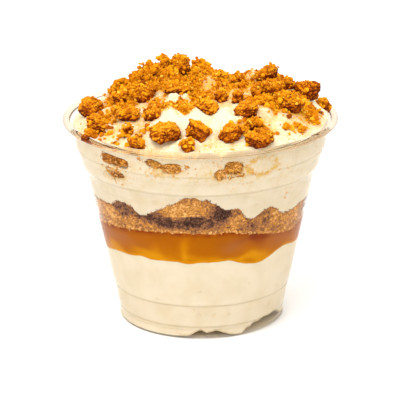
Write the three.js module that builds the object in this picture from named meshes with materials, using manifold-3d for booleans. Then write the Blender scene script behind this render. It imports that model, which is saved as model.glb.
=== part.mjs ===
// Layered tiramisu-style dessert in a clear squat cup with a rolled rim.
// Millimetres, +Z up, origin at the middle of the cup's underside.
import * as THREE from 'three';
import { mergeVertices } from 'three/addons/utils/BufferGeometryUtils.js';
import Module from 'manifold-3d';

const wasm = await Module();
wasm.setup();

// Driving dimensions of the cup
const rimRadius = 47.5;
const beadRadius = 1.15;
const beadHeight = 71.3;
const footRadius = 28.3;
const footBulge = 28.8;
const wallThickness = 0.6;
const floorThickness = 0.8;
const bandRadius = 43.5;
const bandBottom = 62.7;
const bandTop = 68.9;
const shoulderRadius = 39.8;
const shoulderHeight = 53.9;

// Gap between neighbouring solids, and how finely round shapes are stepped
const clearance = 0.35;
const segments = 28;
const beadStep = 45;
const roomArcStep = 45;
const roomMargin = 20;

// Rings of a layer's surfaces, as shares of the inner radius; the outermost is trimmed by the wall
const layerShares = [0.65];
const moundShares = [0.16, 0.34, 0.5, 0.66, 0.8, 0.9];
const overshoot = 1.2;

// Outer wall between foot and rim: [height, radius]
const wallStations = [
  [0, footRadius],
  [1, footBulge],
  [3.1, 28.5],
  [4.3, 29],
  [11.5, 30.2],
  [12.9, 30.8],
  [32.9, 35.1],
  [51.4, 39.1],
  [shoulderHeight, shoulderRadius],
  [56.3, 41.3],
  [59.9, 42.2],
  [bandBottom, bandRadius],
  [bandTop, bandRadius],
  [70.4, 44.7],
];

// Height of a layer's edge on the wall: a level and gentle bumps, [angle, height, spread] in degrees and mm
const amberBottomEdge = { level: 29.2, bumps: [[-95, 0.7, 22], [-56, -1.9, 9], [-35, 1.8, 8], [60, -0.8, 30]] };
const amberTopEdge = { level: 38, bumps: [[-102, 3.3, 28], [-50, -0.8, 12], [80, 1.2, 35]] };
const biscuitTopEdge = {
  level: 45.3,
  bumps: [[-152, 1.6, 12], [-136, 3.4, 5], [-94, 9.6, 12], [-74, 2.2, 6], [-54, 2.4, 6], [-41, -1.4, 7], [25, 1.6, 16],
    [70, 3.4, 14], [118, 1.8, 18], [160, 2.6, 11]],
};
const airPockets = { level: 0, bumps: [[-91, 2.2, 5], [-80, 1.4, 4], [-46, 2.6, 10], [-28, 3, 10]] };
const pocketInner = 0.8;
const pocketMiddle = 0.87;
const pocketOuter = 0.94;

// Mound of cream above the rim: its edge climbs to the right and is pushed up again at the far left; the mound is
// fullest on the right and flattest behind
const moundEdge = 70.3;
const moundEdgeLean = 1.4;
const moundLeftRise = 1.1;
const moundCrown = 80.5;
const moundFullness = 2.7;
const fullnessLean = 0.9;
const edgeFade = 0.16;

// Dollops on the mound: [x, y, height, spread]
const dollops = [
  [-10, 10, 6.6, 8],
  [-22, 8, 3.2, 7],
  [27, 9, 3.2, 9],
  [37, 0, 1.6, 7],
  [6, 6, 0.6, 7],
  [2, -14, -1.2, 8],
  [18, -14, 1.5, 6],
  [-14, -18, 1.6, 7],
  [30, -18, 1.2, 6],
  [-30, -16, 1.2, 6],
  [4, -30, 1.6, 7],
];

// Biscuit pieces on the cream: [x, y, width, depth, height, turn, lean, squareness]
const toppingPieces = [
  [-37.5, -1.5, 9.2, 8, 8.4, 20, 8, 2.6],
  [-34.5, -17, 9.4, 7.5, 6, -15, -16, 2.8],
  [-37, -21.5, 5.8, 4.4, 4.4, 30, -20, 3],
  [-26, -3, 7.7, 6.5, 6, 10, 10, 3],
  [-18.5, -5.5, 7.3, 6.2, 6.6, 40, -12, 3],
  [-24, -18.5, 8.4, 7, 4.8, -10, 4, 2.6],
  [-16, -23.5, 6.6, 5.6, 6.2, 25, 14, 2.6],
  [-24.3, -27.8, 4.3, 4.2, 4.8, 0, 10, 3],
  [-21, -35, 7.4, 5.5, 4.6, -12, -26, 3.2],
  [-12, -34.5, 10.6, 8.5, 8, 10, 4, 2.5],
  [-1, -36, 8.4, 6.6, 6.4, -10, -26, 3],
  [-4.5, -40.8, 5.2, 4.2, 6, 15, 6, 2.8],
  [2.5, -21, 7.7, 6.5, 6, -20, -24, 2.8],
  [10.5, -36.3, 8.6, 6.4, 6.2, 15, 22, 2.8],
  [19.5, -37, 9.8, 7.4, 6.8, 20, 8, 2.8],
  [18.5, -30.5, 5.2, 4.5, 4.2, 0, -10, 2.6],
  [15.8, -23.8, 8.2, 6.4, 6, 30, -8, 3],
  [23, 6.5, 8.4, 6, 6.2, -8, 28, 4.5],
  [22.3, -7.5, 11, 6.6, 5.6, 6, 4, 3.2],
  [29.5, -15.5, 11.6, 6.6, 6.2, -14, -6, 3],
  [21.3, -17.5, 4.9, 4.5, 4.2, 35, 10, 3],
  [30, 0.5, 4.4, 4, 4.4, 0, 20, 3],
  [37, -1, 9, 7, 7.2, 18, -4, 6],
  [43, 5.5, 5, 4.4, 5, 40, -24, 3.4],
  [13, 4, 5.2, 4.4, 4.4, -30, 16, 2.8],
  [13, -14, 5.3, 4.5, 5, 25, -10, 2.8],
  [-6.8, 6.5, 7, 6.5, 7.4, 20, -8, 2.7],
  [-11.8, 9.5, 4.7, 4.5, 5.4, 0, 12, 2.7],
  [-18.5, 5, 7.3, 6, 5, 35, 24, 2.7],
  [-8, -4.5, 8, 6, 4.2, -20, 6, 2.7],
  [7, -9.5, 4.7, 4.4, 5.2, 15, 10, 2.7],
  [-28.5, 16, 7, 6, 5.2, 30, 8, 2.8],
  [-19, 27, 8.2, 6.8, 6, -20, -8, 3],
  [-3, 24, 6.2, 5.4, 4.6, 15, 10, 2.8],
  [7, 33, 8.4, 6.8, 4.8, 40, -6, 2.8],
  [17, 25, 6.6, 6, 4.2, 10, 12, 3.4],
  [30, 24, 8.4, 6.4, 4.6, -35, 8, 4],
  [-9, 38.5, 6, 5.2, 4.8, 20, -14, 2.8],
  [20, 36, 5.4, 4.8, 4.6, 0, 8, 3],
  [39.5, 13.5, 5, 4.4, 4.2, 50, 10, 3],
];
const pieceLift = 0.25;
const unevennessOfPieces = 0.1;
const coarseBelow = 6.2; // mean size under which a piece gets fewer facets

// Biscuit pieces against the wall: [angle, height, width, depth, tallness, lean, squareness]
const wallPieces = [
  [-132, 65.3, 13, 5, 4, -5, 5],
  [-133, 60.4, 8.6, 4, 3, 5, 2.6],
  [-111.5, 66.8, 6.4, 4, 3, -14, 3],
  [-103, 65.6, 7.6, 5, 4, 3, 3],
  [-75.2, 65.6, 7.4, 5, 5, -8, 3],
  [-81.5, 63.4, 4, 4, 4.2, 30, 3],
  [148, 64.5, 8.4, 5, 4.8, 14, 3],
  [96, 65.7, 6.4, 4.6, 4.2, -20, 3],
  [42, 63.9, 9, 5, 4.6, 10, 3.4],
];
const wallPieceInset = 2;

const colours = {
  cup: 0xf4f6f6,
  bottomCream: 0xf6e8c8,
  amber: 0xc8700a,
  biscuitLayer: 0x6e5046,
  topCream: 0xfff6dc,
  biscuit: 0xc47a1e,
};

function radians(degrees) {
  return (degrees * Math.PI) / 180;
}

function interpolate(stations, height) {
  const next = stations.findIndex((station) => station[0] >= height);
  if (next < 0) return stations[stations.length - 1][1];
  if (next === 0) return stations[0][1];
  const [lowHeight, lowRadius] = stations[next - 1];
  const [highHeight, highRadius] = stations[next];
  const share = (height - lowHeight) / (highHeight - lowHeight);
  return lowRadius + share * (highRadius - lowRadius);
}

function innerRadius(height) {
  return interpolate(wallStations, height) - wallThickness;
}

// Level plus bell-shaped bumps around the wall, angles in radians
function edgeHeight(edge, angle) {
  let height = edge.level;
  for (const [centre, rise, spread] of edge.bumps) {
    const turned = (((angle * 180) / Math.PI - centre + 540) % 360) - 180;
    height += rise * Math.exp(-(turned * turned) / (2 * spread * spread));
  }
  return height;
}

function smooth(share) {
  const clamped = Math.min(Math.max(share, 0), 1);
  return clamped * clamped * (3 - 2 * clamped);
}

function moundEdgeHeight(angle) {
  const towardsLeft = Math.max(-Math.cos(angle), 0);
  return moundEdge + moundEdgeLean * Math.cos(angle) + moundLeftRise * towardsLeft ** 4;
}

// Cream surface over the point (x, y)
function moundHeight(x, y) {
  const angle = Math.atan2(y, x);
  const edge = moundEdgeHeight(angle);
  const share = Math.min(Math.hypot(x, y) / innerRadius(edge), 1);
  const fullness = moundFullness + fullnessLean * Math.cos(angle) - Math.max(Math.sin(angle), 0);
  let height = edge + (moundCrown - edge) * (1 - share ** fullness);
  const fade = smooth((1 - share) / edgeFade);
  for (const [dollopX, dollopY, rise, spread] of dollops) {
    const distance = (x - dollopX) ** 2 + (y - dollopY) ** 2;
    height += fade * rise * Math.exp(-distance / (2 * spread * spread));
  }
  return height;
}

function ring(radius, heightAt) {
  const points = [];
  for (let step = 0; step < segments; step += 1) {
    const angle = (step / segments) * Math.PI * 2;
    points.push([radius * Math.cos(angle), radius * Math.sin(angle), heightAt(angle)]);
  }
  return points;
}

// Closed skin over a stack of rings, from the lower middle point outwards, up and back to the upper one.
// A layer's underside and the surface below it are split along the same diagonals, so they stay parallel.
function skinOverRings(rings, lowerMiddle, upperMiddle) {
  const positions = [lowerMiddle, ...rings.flat(), upperMiddle];
  const faces = [];
  const last = positions.length - 1;
  const start = last - segments;
  for (let step = 0; step < segments; step += 1) {
    const next = (step + 1) % segments;
    faces.push(0, 1 + next, 1 + step);
    faces.push(last, start + step, start + next);
    for (let row = 0; row < rings.length - 1; row += 1) {
      const below = 1 + row * segments;
      const above = below + segments;
      const widens = rings[row + 1][0][0] > rings[row][0][0];
      faces.push(below + step, below + next, widens ? above + step : above + next);
      faces.push(widens ? below + next : below + step, above + next, above + step);
    }
  }
  const geometry = new THREE.BufferGeometry();
  geometry.setAttribute('position', new THREE.Float32BufferAttribute(positions.flat(), 3));
  geometry.setIndex(faces);
  return geometry;
}

// One layer of the filling, wider than the cup: its surfaces give a height by angle and share of their reach
function layerGeometry(lower, upper, lowerShares, upperShares) {
  const surfaceRing = (surface, share) =>
    ring(share * surface.reach, (angle) => surface.heightAt(angle, Math.min(share, 1)));
  const lowerRings = [...lowerShares, 1, overshoot].map((share) => surfaceRing(lower, share));
  const upperRings = [overshoot, 1, ...upperShares.toReversed()].map((share) => surfaceRing(upper, share));
  return skinOverRings([...lowerRings, ...upperRings], [0, 0, lower.heightAt(0, 0)], [0, 0, upper.heightAt(0, 0)]);
}

// Layer surface that follows its edge at the wall and levels out towards the middle
function layerSurface(edge, offset) {
  return {
    reach: innerRadius(edge.level),
    heightAt: (angle, share) => edge.level + (edgeHeight(edge, angle) - edge.level) * share ** 2 + offset,
  };
}

// Underside of the bottom cream, lifted where air is trapped at the foot
function creamUnderside() {
  const heightAt = (angle, share) => {
    const reach = smooth((share - pocketInner) / (pocketOuter - pocketInner));
    return floorThickness + clearance + reach * edgeHeight(airPockets, angle);
  };
  return { reach: innerRadius(0), heightAt };
}

function moundSurface(offset) {
  const reach = innerRadius(moundEdge);
  const heightAt = (angle, share) => {
    const radius = share * reach;
    return moundHeight(radius * Math.cos(angle), radius * Math.sin(angle)) + offset;
  };
  return { reach, heightAt };
}

// Arc around the middle of the rim's bead, angles in degrees from outwards to upwards
function beadArc(radius, from, to, step) {
  const points = [];
  const count = Math.abs(to - from) / step;
  for (let index = 0; index <= count; index += 1) {
    const angle = radians(from + ((to - from) * index) / count);
    const across = rimRadius - beadRadius + radius * Math.cos(angle);
    points.push(new THREE.Vector2(across, beadHeight + radius * Math.sin(angle)));
  }
  return points;
}

function cupProfile() {
  const points = [new THREE.Vector2(0, 0)];
  for (const [height, radius] of wallStations) {
    points.push(new THREE.Vector2(radius, height));
  }
  points.push(...beadArc(beadRadius, -135, 180, beadStep));
  const inner = wallStations.slice(1).reverse();
  for (const [height, radius] of inner) {
    points.push(new THREE.Vector2(radius - wallThickness, Math.max(height, floorThickness)));
  }
  points.push(new THREE.Vector2(footRadius - wallThickness, floorThickness));
  points.push(new THREE.Vector2(0, floorThickness));
  return points;
}

function lathe(points) {
  const geometry = new THREE.LatheGeometry(points, segments);
  geometry.rotateX(Math.PI / 2);
  return merged(geometry);
}

function merged(geometry) {
  geometry.deleteAttribute('normal');
  geometry.deleteAttribute('uv');
  return mergeVertices(geometry, 1e-4);
}

function solidFrom(geometry) {
  const vertProperties = new Float32Array(geometry.attributes.position.array);
  const triVerts = new Uint32Array(geometry.index.array);
  return new wasm.Manifold(new wasm.Mesh({ numProp: 3, vertProperties, triVerts }));
}

function geometryFrom(solid) {
  const mesh = solid.getMesh();
  const geometry = new THREE.BufferGeometry();
  geometry.setAttribute('position', new THREE.Float32BufferAttribute(mesh.vertProperties, 3));
  geometry.setIndex(Array.from(mesh.triVerts));
  return geometry;
}

function largestBody(solid) {
  return solid.decompose().reduce((best, body) => (body.volume() > best.volume() ? body : best));
}

// Room inside the cup, open to the sides above the rim
function roomProfile() {
  const points = [new THREE.Vector2(0, floorThickness + clearance)];
  for (const [height, radius] of wallStations.slice(1)) {
    points.push(new THREE.Vector2(radius - wallThickness - clearance, height));
  }
  points.push(...beadArc(beadRadius + clearance, 180, 90, roomArcStep));
  const beadTop = beadHeight + beadRadius + clearance;
  points.push(new THREE.Vector2(rimRadius + roomMargin, beadTop));
  points.push(new THREE.Vector2(rimRadius + roomMargin, moundCrown + roomMargin));
  points.push(new THREE.Vector2(0, moundCrown + roomMargin));
  return points;
}

// Repeatable unevenness between -1 and 1
function unevenness(seed, index) {
  const value = Math.sin(seed * 127.1 + index * 311.7) * 43758.5453;
  return 2 * (value - Math.floor(value)) - 1;
}

// Rounded, rough block of biscuit; grow widens it on every side for the hollow it leaves in the cream
function biscuitSolid(seed, size, turnOver, place, grow) {
  const [width, depth, height, squareness] = size;
  const coarse = (width + depth + height) / 3 < coarseBelow;
  const geometry = merged(coarse ? new THREE.OctahedronGeometry(1, 1) : new THREE.IcosahedronGeometry(1, 1));
  const positions = geometry.attributes.position;
  const point = new THREE.Vector3();
  for (let index = 0; index < positions.count; index += 1) {
    point.fromBufferAttribute(positions, index).normalize();
    const sum = ['x', 'y', 'z'].reduce((total, axis) => total + Math.abs(point[axis]) ** squareness, 0);
    const bulge = (1 + unevennessOfPieces * unevenness(seed, index)) / sum ** (1 / squareness);
    point.multiplyScalar(bulge);
    point.multiply(new THREE.Vector3(width / 2 + grow, depth / 2 + grow, height / 2 + grow));
    positions.setXYZ(index, point.x, point.y, point.z);
  }
  geometry.applyQuaternion(turnOver);
  geometry.translate(place.x, place.y, place.z);
  return solidFrom(geometry);
}

function quaternion(leanDegrees, turnDegrees) {
  const lean = new THREE.Quaternion().setFromAxisAngle(new THREE.Vector3(0, -1, 0), radians(leanDegrees));
  const turn = new THREE.Quaternion().setFromAxisAngle(new THREE.Vector3(0, 0, 1), radians(turnDegrees));
  return turn.multiply(lean);
}

function toppingDescriptions() {
  return toppingPieces.map(([x, y, width, depth, height, turn, lean, squareness], index) => ({
    name: `biscuit_${String(index + 1).padStart(2, '0')}`,
    seed: index + 1,
    size: [width, depth, height, squareness],
    turnOver: quaternion(lean, turn),
    place: new THREE.Vector3(x, y, moundHeight(x, y) + height * pieceLift),
  }));
}

function wallPieceDescriptions() {
  return wallPieces.map(([angle, height, width, depth, tallness, lean, squareness], index) => {
    const radius = innerRadius(height) - wallPieceInset;
    return {
      name: `wall_biscuit_${index + 1}`,
      seed: 50 + index,
      size: [width, depth, tallness, squareness],
      turnOver: quaternion(lean, angle + 90),
      place: new THREE.Vector3(radius * Math.cos(radians(angle)), radius * Math.sin(radians(angle)), height),
    };
  });
}

// Every piece stops short of the cup, of the solids it rests on and of the pieces made before it
function biscuitBodies(descriptions, supports) {
  const bodies = [];
  const hollows = [...supports];
  for (const { name, seed, size, turnOver, place } of descriptions) {
    let body = biscuitSolid(seed, size, turnOver, place, 0).intersect(room);
    for (const hollow of hollows) {
      body = body.subtract(hollow);
    }
    bodies.push({ name, body: largestBody(body) });
    hollows.push(biscuitSolid(seed, size, turnOver, place, clearance));
  }
  return { bodies, hollows };
}

function material(colour, roughnessValue) {
  return new THREE.MeshStandardMaterial({ color: colour, roughness: roughnessValue, metalness: 0 });
}

function namedMesh(name, geometry, meshMaterial) {
  const mesh = new THREE.Mesh(geometry, meshMaterial);
  mesh.name = name;
  return mesh;
}

const group = new THREE.Group();
const cupMaterial = material(colours.cup, 0.1);
cupMaterial.transparent = true;
cupMaterial.opacity = 0.3;
group.add(namedMesh('cup', lathe(cupProfile()), cupMaterial));

const room = solidFrom(lathe(roomProfile()));

function trimmed(geometry) {
  return geometryFrom(largestBody(solidFrom(geometry).intersect(room)));
}

const gap = clearance / 2;
const bottomCream = layerGeometry(
  creamUnderside(), layerSurface(amberBottomEdge, -gap), [pocketInner, pocketMiddle, pocketOuter], layerShares);
group.add(namedMesh('bottom_cream', trimmed(bottomCream), material(colours.bottomCream, 0.5)));

const amber = layerGeometry(
  layerSurface(amberBottomEdge, gap), layerSurface(amberTopEdge, -gap), layerShares, layerShares);
group.add(namedMesh('amber_layer', trimmed(amber), material(colours.amber, 0.3)));

const biscuitLayer = layerGeometry(
  layerSurface(amberTopEdge, gap), layerSurface(biscuitTopEdge, -gap), layerShares, layerShares);
group.add(namedMesh('biscuit_layer', trimmed(biscuitLayer), material(colours.biscuitLayer, 0.9)));

// Top cream: from the biscuit layer up to the mound, hollowed where biscuit pieces lie against the wall
const cream = (offset) =>
  solidFrom(layerGeometry(layerSurface(biscuitTopEdge, gap), moundSurface(offset), layerShares, moundShares));
const topping = biscuitBodies(toppingDescriptions(), [cream(clearance)]);
const againstWall = biscuitBodies(wallPieceDescriptions(), []);
let topCream = cream(0).intersect(room);
for (const hollow of againstWall.hollows) {
  topCream = topCream.subtract(hollow);
}
group.add(namedMesh('top_cream', geometryFrom(largestBody(topCream)), material(colours.topCream, 0.45)));

const biscuitMaterial = material(colours.biscuit, 0.9);
for (const { name, body } of [...topping.bodies, ...againstWall.bodies]) {
  group.add(namedMesh(name, geometryFrom(body), biscuitMaterial));
}

export default group;
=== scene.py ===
import math

import bpy
import numpy as np
from mathutils import Matrix


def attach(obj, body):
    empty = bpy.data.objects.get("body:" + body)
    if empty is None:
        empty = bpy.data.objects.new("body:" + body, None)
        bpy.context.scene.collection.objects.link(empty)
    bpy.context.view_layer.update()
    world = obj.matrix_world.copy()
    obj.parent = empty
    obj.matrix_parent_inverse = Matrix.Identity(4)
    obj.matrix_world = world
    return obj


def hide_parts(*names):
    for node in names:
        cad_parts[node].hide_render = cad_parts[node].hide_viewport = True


# Layered dessert in a clear cup. Lengths below are in millimetres and turn to metres when a mesh is made.
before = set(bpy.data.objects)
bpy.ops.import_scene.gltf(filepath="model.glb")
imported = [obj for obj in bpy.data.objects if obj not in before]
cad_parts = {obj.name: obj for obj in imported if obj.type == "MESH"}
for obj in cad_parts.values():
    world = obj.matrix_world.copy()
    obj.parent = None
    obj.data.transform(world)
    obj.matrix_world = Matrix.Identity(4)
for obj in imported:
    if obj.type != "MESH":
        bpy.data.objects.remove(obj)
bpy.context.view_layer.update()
metre = 0.001
pi = math.pi


# Helpers for meshes

def closedGrid(rings, lowPole, highPole):
    # Points row by row between two end points; quads between rows, fans at the ends, all facing outwards
    rows, columns = rings.shape[:2]
    points = np.vstack([rings.reshape(-1, 3), lowPole, highPole])
    i, j = np.meshgrid(np.arange(rows - 1), np.arange(columns), indexing="ij")
    k = (j + 1) % columns
    quads = np.stack([i * columns + j, i * columns + k, (i + 1) * columns + k, (i + 1) * columns + j], -1)
    j = np.arange(columns)
    k = (j + 1) % columns
    low, high, last = rows * columns, rows * columns + 1, (rows - 1) * columns
    fans = np.vstack([
        np.stack([np.full(columns, low), k, j], -1),
        np.stack([np.full(columns, high), last + j, last + k], -1),
    ])
    return points, quads.reshape(-1, 4), fans


def makePiece(name, points, quads, triangles, material, nodes=(), attributes=None, smooth=True):
    faces = quads.tolist() + triangles.tolist()
    mesh = bpy.data.meshes.new(name)
    mesh.from_pydata((points * metre).tolist(), [], faces)
    mesh.polygons.foreach_set("use_smooth", np.full(len(faces), smooth))
    for key, values in (attributes or {}).items():
        layer = mesh.attributes.new(key, "FLOAT", "POINT")
        layer.data.foreach_set("value", np.asarray(values, dtype=np.float32))
    mesh.materials.append(material)
    mesh.update()
    piece = bpy.data.objects.new(name, mesh)
    bpy.context.collection.objects.link(piece)
    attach(piece, "root")
    if nodes:
        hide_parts(*nodes)
    return piece


def around(columns):
    return np.arange(columns) / columns * 2 * pi


def atAngle(radius, angle, height):
    # Points round the cup's axis
    return np.stack(np.broadcast_arrays(radius * np.cos(angle), radius * np.sin(angle), height), -1)


def angleOf(points):
    # Angle round the cup's axis: nothing at the right, minus a quarter turn at the camera
    return np.arctan2(points[..., 1], points[..., 0])


def turnFrom(degrees, centre):
    # Signed turn from the centre, at most half a circle either way
    return (degrees - centre + 540) % 360 - 180


def acrossWall(degrees, centre, radius):
    # The same as a length along the wall
    return turnFrom(degrees, centre) * pi / 180 * radius


def tilted(across, up, lean):
    # Along a line that leans by so many degrees, and square to it
    c, s = math.cos(math.radians(lean)), math.sin(math.radians(lean))
    return across * c + up * s, up * c - across * s


# Helpers for uneven shapes

def scramble(cells, seed):
    # Repeatable value from 0 to 1 for each whole-number cell
    x, y, z = (cells[..., axis].astype(np.int64).astype(np.uint32) for axis in range(3))
    mix = x * np.uint32(374761393) + y * np.uint32(668265263) + z * np.uint32(2246822519)
    mix = mix + np.uint32((seed * 3266489917) % 4294967296)
    mix = (mix ^ (mix >> np.uint32(13))) * np.uint32(1274126177)
    mix = (mix ^ (mix >> np.uint32(16))) * np.uint32(2654435761)
    return (mix >> np.uint32(8)).astype(np.float64) / 16777216.0


def swell(points, size, seed):
    # Smooth noise from -1 to 1: random values on a lattice of the given size, blended between its corners
    place = points / size
    cell = np.floor(place)
    part = place - cell
    part = part * part * (3 - 2 * part)
    total = np.zeros(points.shape[:-1])
    for corner in np.ndindex(2, 2, 2):
        corner = np.array(corner)
        weight = np.prod(np.where(corner, part, 1 - part), axis=-1)
        total += weight * scramble(cell + corner, seed)
    return 2 * total - 1


def roughness(points, size, seed, octaves=3):
    # Sum of ever finer and weaker noise, about from -1 to 1
    total = np.zeros(points.shape[:-1])
    for octave in range(octaves):
        total += swell(points, size / 2 ** octave, seed + 17 * octave) / 2 ** octave
    return total / 1.5


def granules(points, size, seed):
    # Distance to the nearest and second nearest of scattered grain centres, in grain sizes, and the value of
    # the nearest grain
    place = points / size
    cell = np.floor(place)
    near = np.full(points.shape[:-1], 9.0)
    second = near.copy()
    own = np.zeros_like(near)
    for step in np.ndindex(3, 3, 3):
        there = cell + np.array(step) - 1
        centre = there + np.stack([scramble(there, seed + axis) for axis in range(3)], -1)
        away = np.sqrt(((centre - place) ** 2).sum(-1))
        closer = away < near
        second = np.where(closer, near, np.minimum(second, away))
        own = np.where(closer, scramble(there, seed + 5), own)
        near = np.where(closer, away, near)
    return near, second, own


def ease(share):
    share = np.clip(share, 0, 1)
    return share * share * (3 - 2 * share)


def bell(squaredDistance, spread):
    return np.exp(-squaredDistance / (2 * spread ** 2))


def onPlane(x, y):
    return np.stack([x, y, np.zeros_like(x)], -1)


# Helpers for materials

def linearColour(code):
    # sRGB hex to the linear values that shaders take
    parts = [int(code[i:i + 2], 16) / 255 for i in (1, 3, 5)]
    return tuple([p / 12.92 if p <= 0.04045 else ((p + 0.055) / 1.055) ** 2.4 for p in parts] + [1.0])


def newMaterial(name):
    material = bpy.data.materials.new(name)
    material.use_nodes = True
    material.node_tree.nodes.clear()
    return material, material.node_tree


def addNode(tree, kind, inputs=None, stops=None, **settings):
    # One node with its settings, its values or links by input, and a ramp's stops
    node = tree.nodes.new(kind)
    for key, value in settings.items():
        setattr(node, key, value)
    for key, value in (inputs or {}).items():
        if isinstance(value, bpy.types.NodeSocket):
            tree.links.new(value, node.inputs[key])
        else:
            node.inputs[key].default_value = value
    if stops:
        steps = node.color_ramp.elements
        while len(steps) < len(stops):
            steps.new(0.5)
        for step, (position, code) in zip(steps, stops):
            step.position = position
            step.color = linearColour(code)
    return node


def attribute(tree, name):
    # Value that the mesh carries at its points
    return addNode(tree, "ShaderNodeAttribute", attribute_name=name).outputs["Fac"]


def noise(tree, size, detail, rough=0.5):
    # Noise that is fixed to the object, with features of the given size in millimetres
    place = addNode(tree, "ShaderNodeTexCoord").outputs["Object"]
    return addNode(tree, "ShaderNodeTexNoise", {
        "Vector": place, "Scale": 1 / (size * metre), "Detail": detail, "Roughness": rough}).outputs["Fac"]


def scaled(tree, value, factor, added):
    inputs = {0: value, 1: factor, 2: added}
    return addNode(tree, "ShaderNodeMath", inputs, operation="MULTIPLY_ADD").outputs[0]


def stretched(tree, value, low, high, top=1.0):
    # Nothing at the low value, the top at the high one
    return addNode(tree, "ShaderNodeMapRange", {
        "Value": value, "From Min": low, "From Max": high, "To Min": 0.0, "To Max": top}).outputs[0]


def ramp(tree, share, stops):
    return addNode(tree, "ShaderNodeValToRGB", {"Fac": share}, stops=stops).outputs["Color"]


def blend(tree, share, first, second):
    # Colour between the first and the second
    return addNode(tree, "ShaderNodeMix", {0: share, 6: first, 7: second}, data_type="RGBA").outputs[2]


def bumps(tree, height, strength, depth):
    return addNode(tree, "ShaderNodeBump", {
        "Height": height, "Strength": strength, "Distance": depth * metre}).outputs["Normal"]


def finishMaterial(tree, tone, rough, ior, specular, more=None):
    shader = addNode(tree, "ShaderNodeBsdfPrincipled", {
        "Base Color": tone, "Roughness": rough, "IOR": ior, "Specular IOR Level": specular, **(more or {})})
    addNode(tree, "ShaderNodeOutputMaterial", {"Surface": shader.outputs[0]})
    return shader


print("helpers ready")

# The cup's shape, which the filling follows too

cup = {
    "rimRadius": 47.5, "beadRadius": 1.15, "beadHeight": 71.3, "wall": 0.6, "floor": 0.8,
    "stations": [  # height, outer radius
        (0, 28.3), (1, 28.8), (3.1, 28.5), (4.3, 29), (11.5, 30.2), (12.9, 30.8), (32.9, 35.1), (51.4, 39.1),
        (53.9, 39.8), (56.3, 41.3), (59.9, 42.2), (62.7, 43.5), (68.9, 43.5), (70.4, 44.7)],
    "columns": 288, "cornerCuts": 2, "beadSteps": 36,
    "reachIn": 0.1,  # how far the filling reaches into the wall, so that no air gap shows
    "overlap": 0.2,  # how far a layer starts below the top of the one under it
    "ribs": [4.3, 12.5, 55.5, 62.6],  # where the wall steps out, the cream stands back
    "ribWidth": 0.3, "ribDepth": 0.3, "lipFrom": 68.6, "lipBlend": 1.6,
}
stationHeights, stationRadii = np.array(cup["stations"]).T


def innerRadius(height):
    return np.interp(height, stationHeights, stationRadii) - cup["wall"]


def ribShare(height):
    # One at each rib and nothing a little above and below it
    return sum(np.exp(-((height - rib) / cup["ribWidth"]) ** 2) for rib in cup["ribs"])


def roundCorners(line, cuts):
    # Corner cutting: every corner gives way to two points, a quarter in from each side
    for _ in range(cuts):
        near, far = line[:-1], line[1:]
        between = np.stack([0.75 * near + 0.25 * far, 0.25 * near + 0.75 * far], 1).reshape(-1, 2)
        line = np.vstack([line[:1], between, line[-1:]])
    return line


def cupProfile():
    # Foot, outer wall, round bead and back down the inner wall, as radius and height
    outer = np.stack([stationRadii, stationHeights], -1)
    outer = roundCorners(np.vstack([[0, 0], [stationRadii[0] - 1, 0], outer]), cup["cornerCuts"])
    turn = np.radians(np.linspace(-135, 180, cup["beadSteps"]))
    size, level = cup["beadRadius"], cup["beadHeight"]
    bead = np.stack([cup["rimRadius"] - size + size * np.cos(turn), level + size * np.sin(turn)], -1)
    inner = np.stack([stationRadii[:0:-1] - cup["wall"], np.maximum(stationHeights[:0:-1], cup["floor"])], -1)
    inner = np.vstack([inner, [stationRadii[0] - cup["wall"] - 1, cup["floor"]], [0, cup["floor"]]])
    inner = roundCorners(inner, cup["cornerCuts"])
    return np.vstack([outer[1:], bead, inner[:-1]])


# Edges of the layers on the wall
# level and bumps: angle in degrees, height, spread in degrees

edges = {
    "amberBottom": (29.2, [
        (-95, 0.7, 22), (-56, -1.9, 9), (-35, 1.8, 8), (60, -0.8, 30),
        (-165, -2, 9), (-127, 0.6, 3), (-97, -0.8, 3), (-74, 0.8, 3), (10, 0.9, 9), (130, -1.2, 12)]),
    "amberTop": (38, [
        (-102, 3.3, 28), (-50, -0.8, 12), (80, 1.2, 35),
        (-75, 1.2, 5), (-60, 0.8, 8), (-29, -1.6, 8), (-165, -1.2, 8), (30, -0.9, 8), (110, 1, 9)]),
    "biscuitTop": (45.3, [
        (-152, 1.6, 12), (-136, 3.4, 5), (-94, 9.6, 12), (-74, 2.2, 6), (-54, 2.4, 6), (-41, -1.4, 7),
        (25, 1.6, 16), (70, 3.4, 14), (118, 1.8, 18), (160, 2.6, 11), (-129, 1.8, 4), (-114, 0.9, 4),
        (-90, -1, 1.6), (-87, 0.6, 1.5), (-78, -1.1, 2.6), (-71, 1.3, 2.2), (-66, -1.7, 3),
        (-60.5, -1.1, 2), (-49, 1.4, 3), (0, 1.1, 3), (14, -1.2, 4), (44, 1.8, 4), (88, -1.4, 4),
        (100, 1.6, 3), (138, -1.5, 5), (149, 1.2, 3), (176, 1.4, 4)]),
}
edgeGrit = {  # amount, size, seed
    "amberBottom": (0.18, 2.2, 3), "amberTop": (0.25, 1.1, 7), "biscuitTop": (0.55, 1.5, 11)}
edgeRadius = 36  # of the circle on which the grit is read
airPockets = {  # under the cream's torn lower edge: angle, height
    "line": [
        (-180, 0), (-112, 0), (-99, 0.4), (-91, 2.6), (-86.5, 1.5), (-80, 2.2), (-70, 0.3), (-61, 0),
        (-56.5, 1.7), (-54.5, 1.6), (-51, 3), (-46, 2.9), (-42, 3.9), (-36, 3.7), (-30, 4.3), (-22, 3),
        (-14, 1.2), (-4, 0), (62, 0), (74, 1.7), (80, 1.2), (96, 0), (128, 0), (136, 1.4), (143, 0),
        (180, 0)],
    "grit": 0.22, "gritSize": 0.9, "seed": 19, "radius": 28,
}


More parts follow.
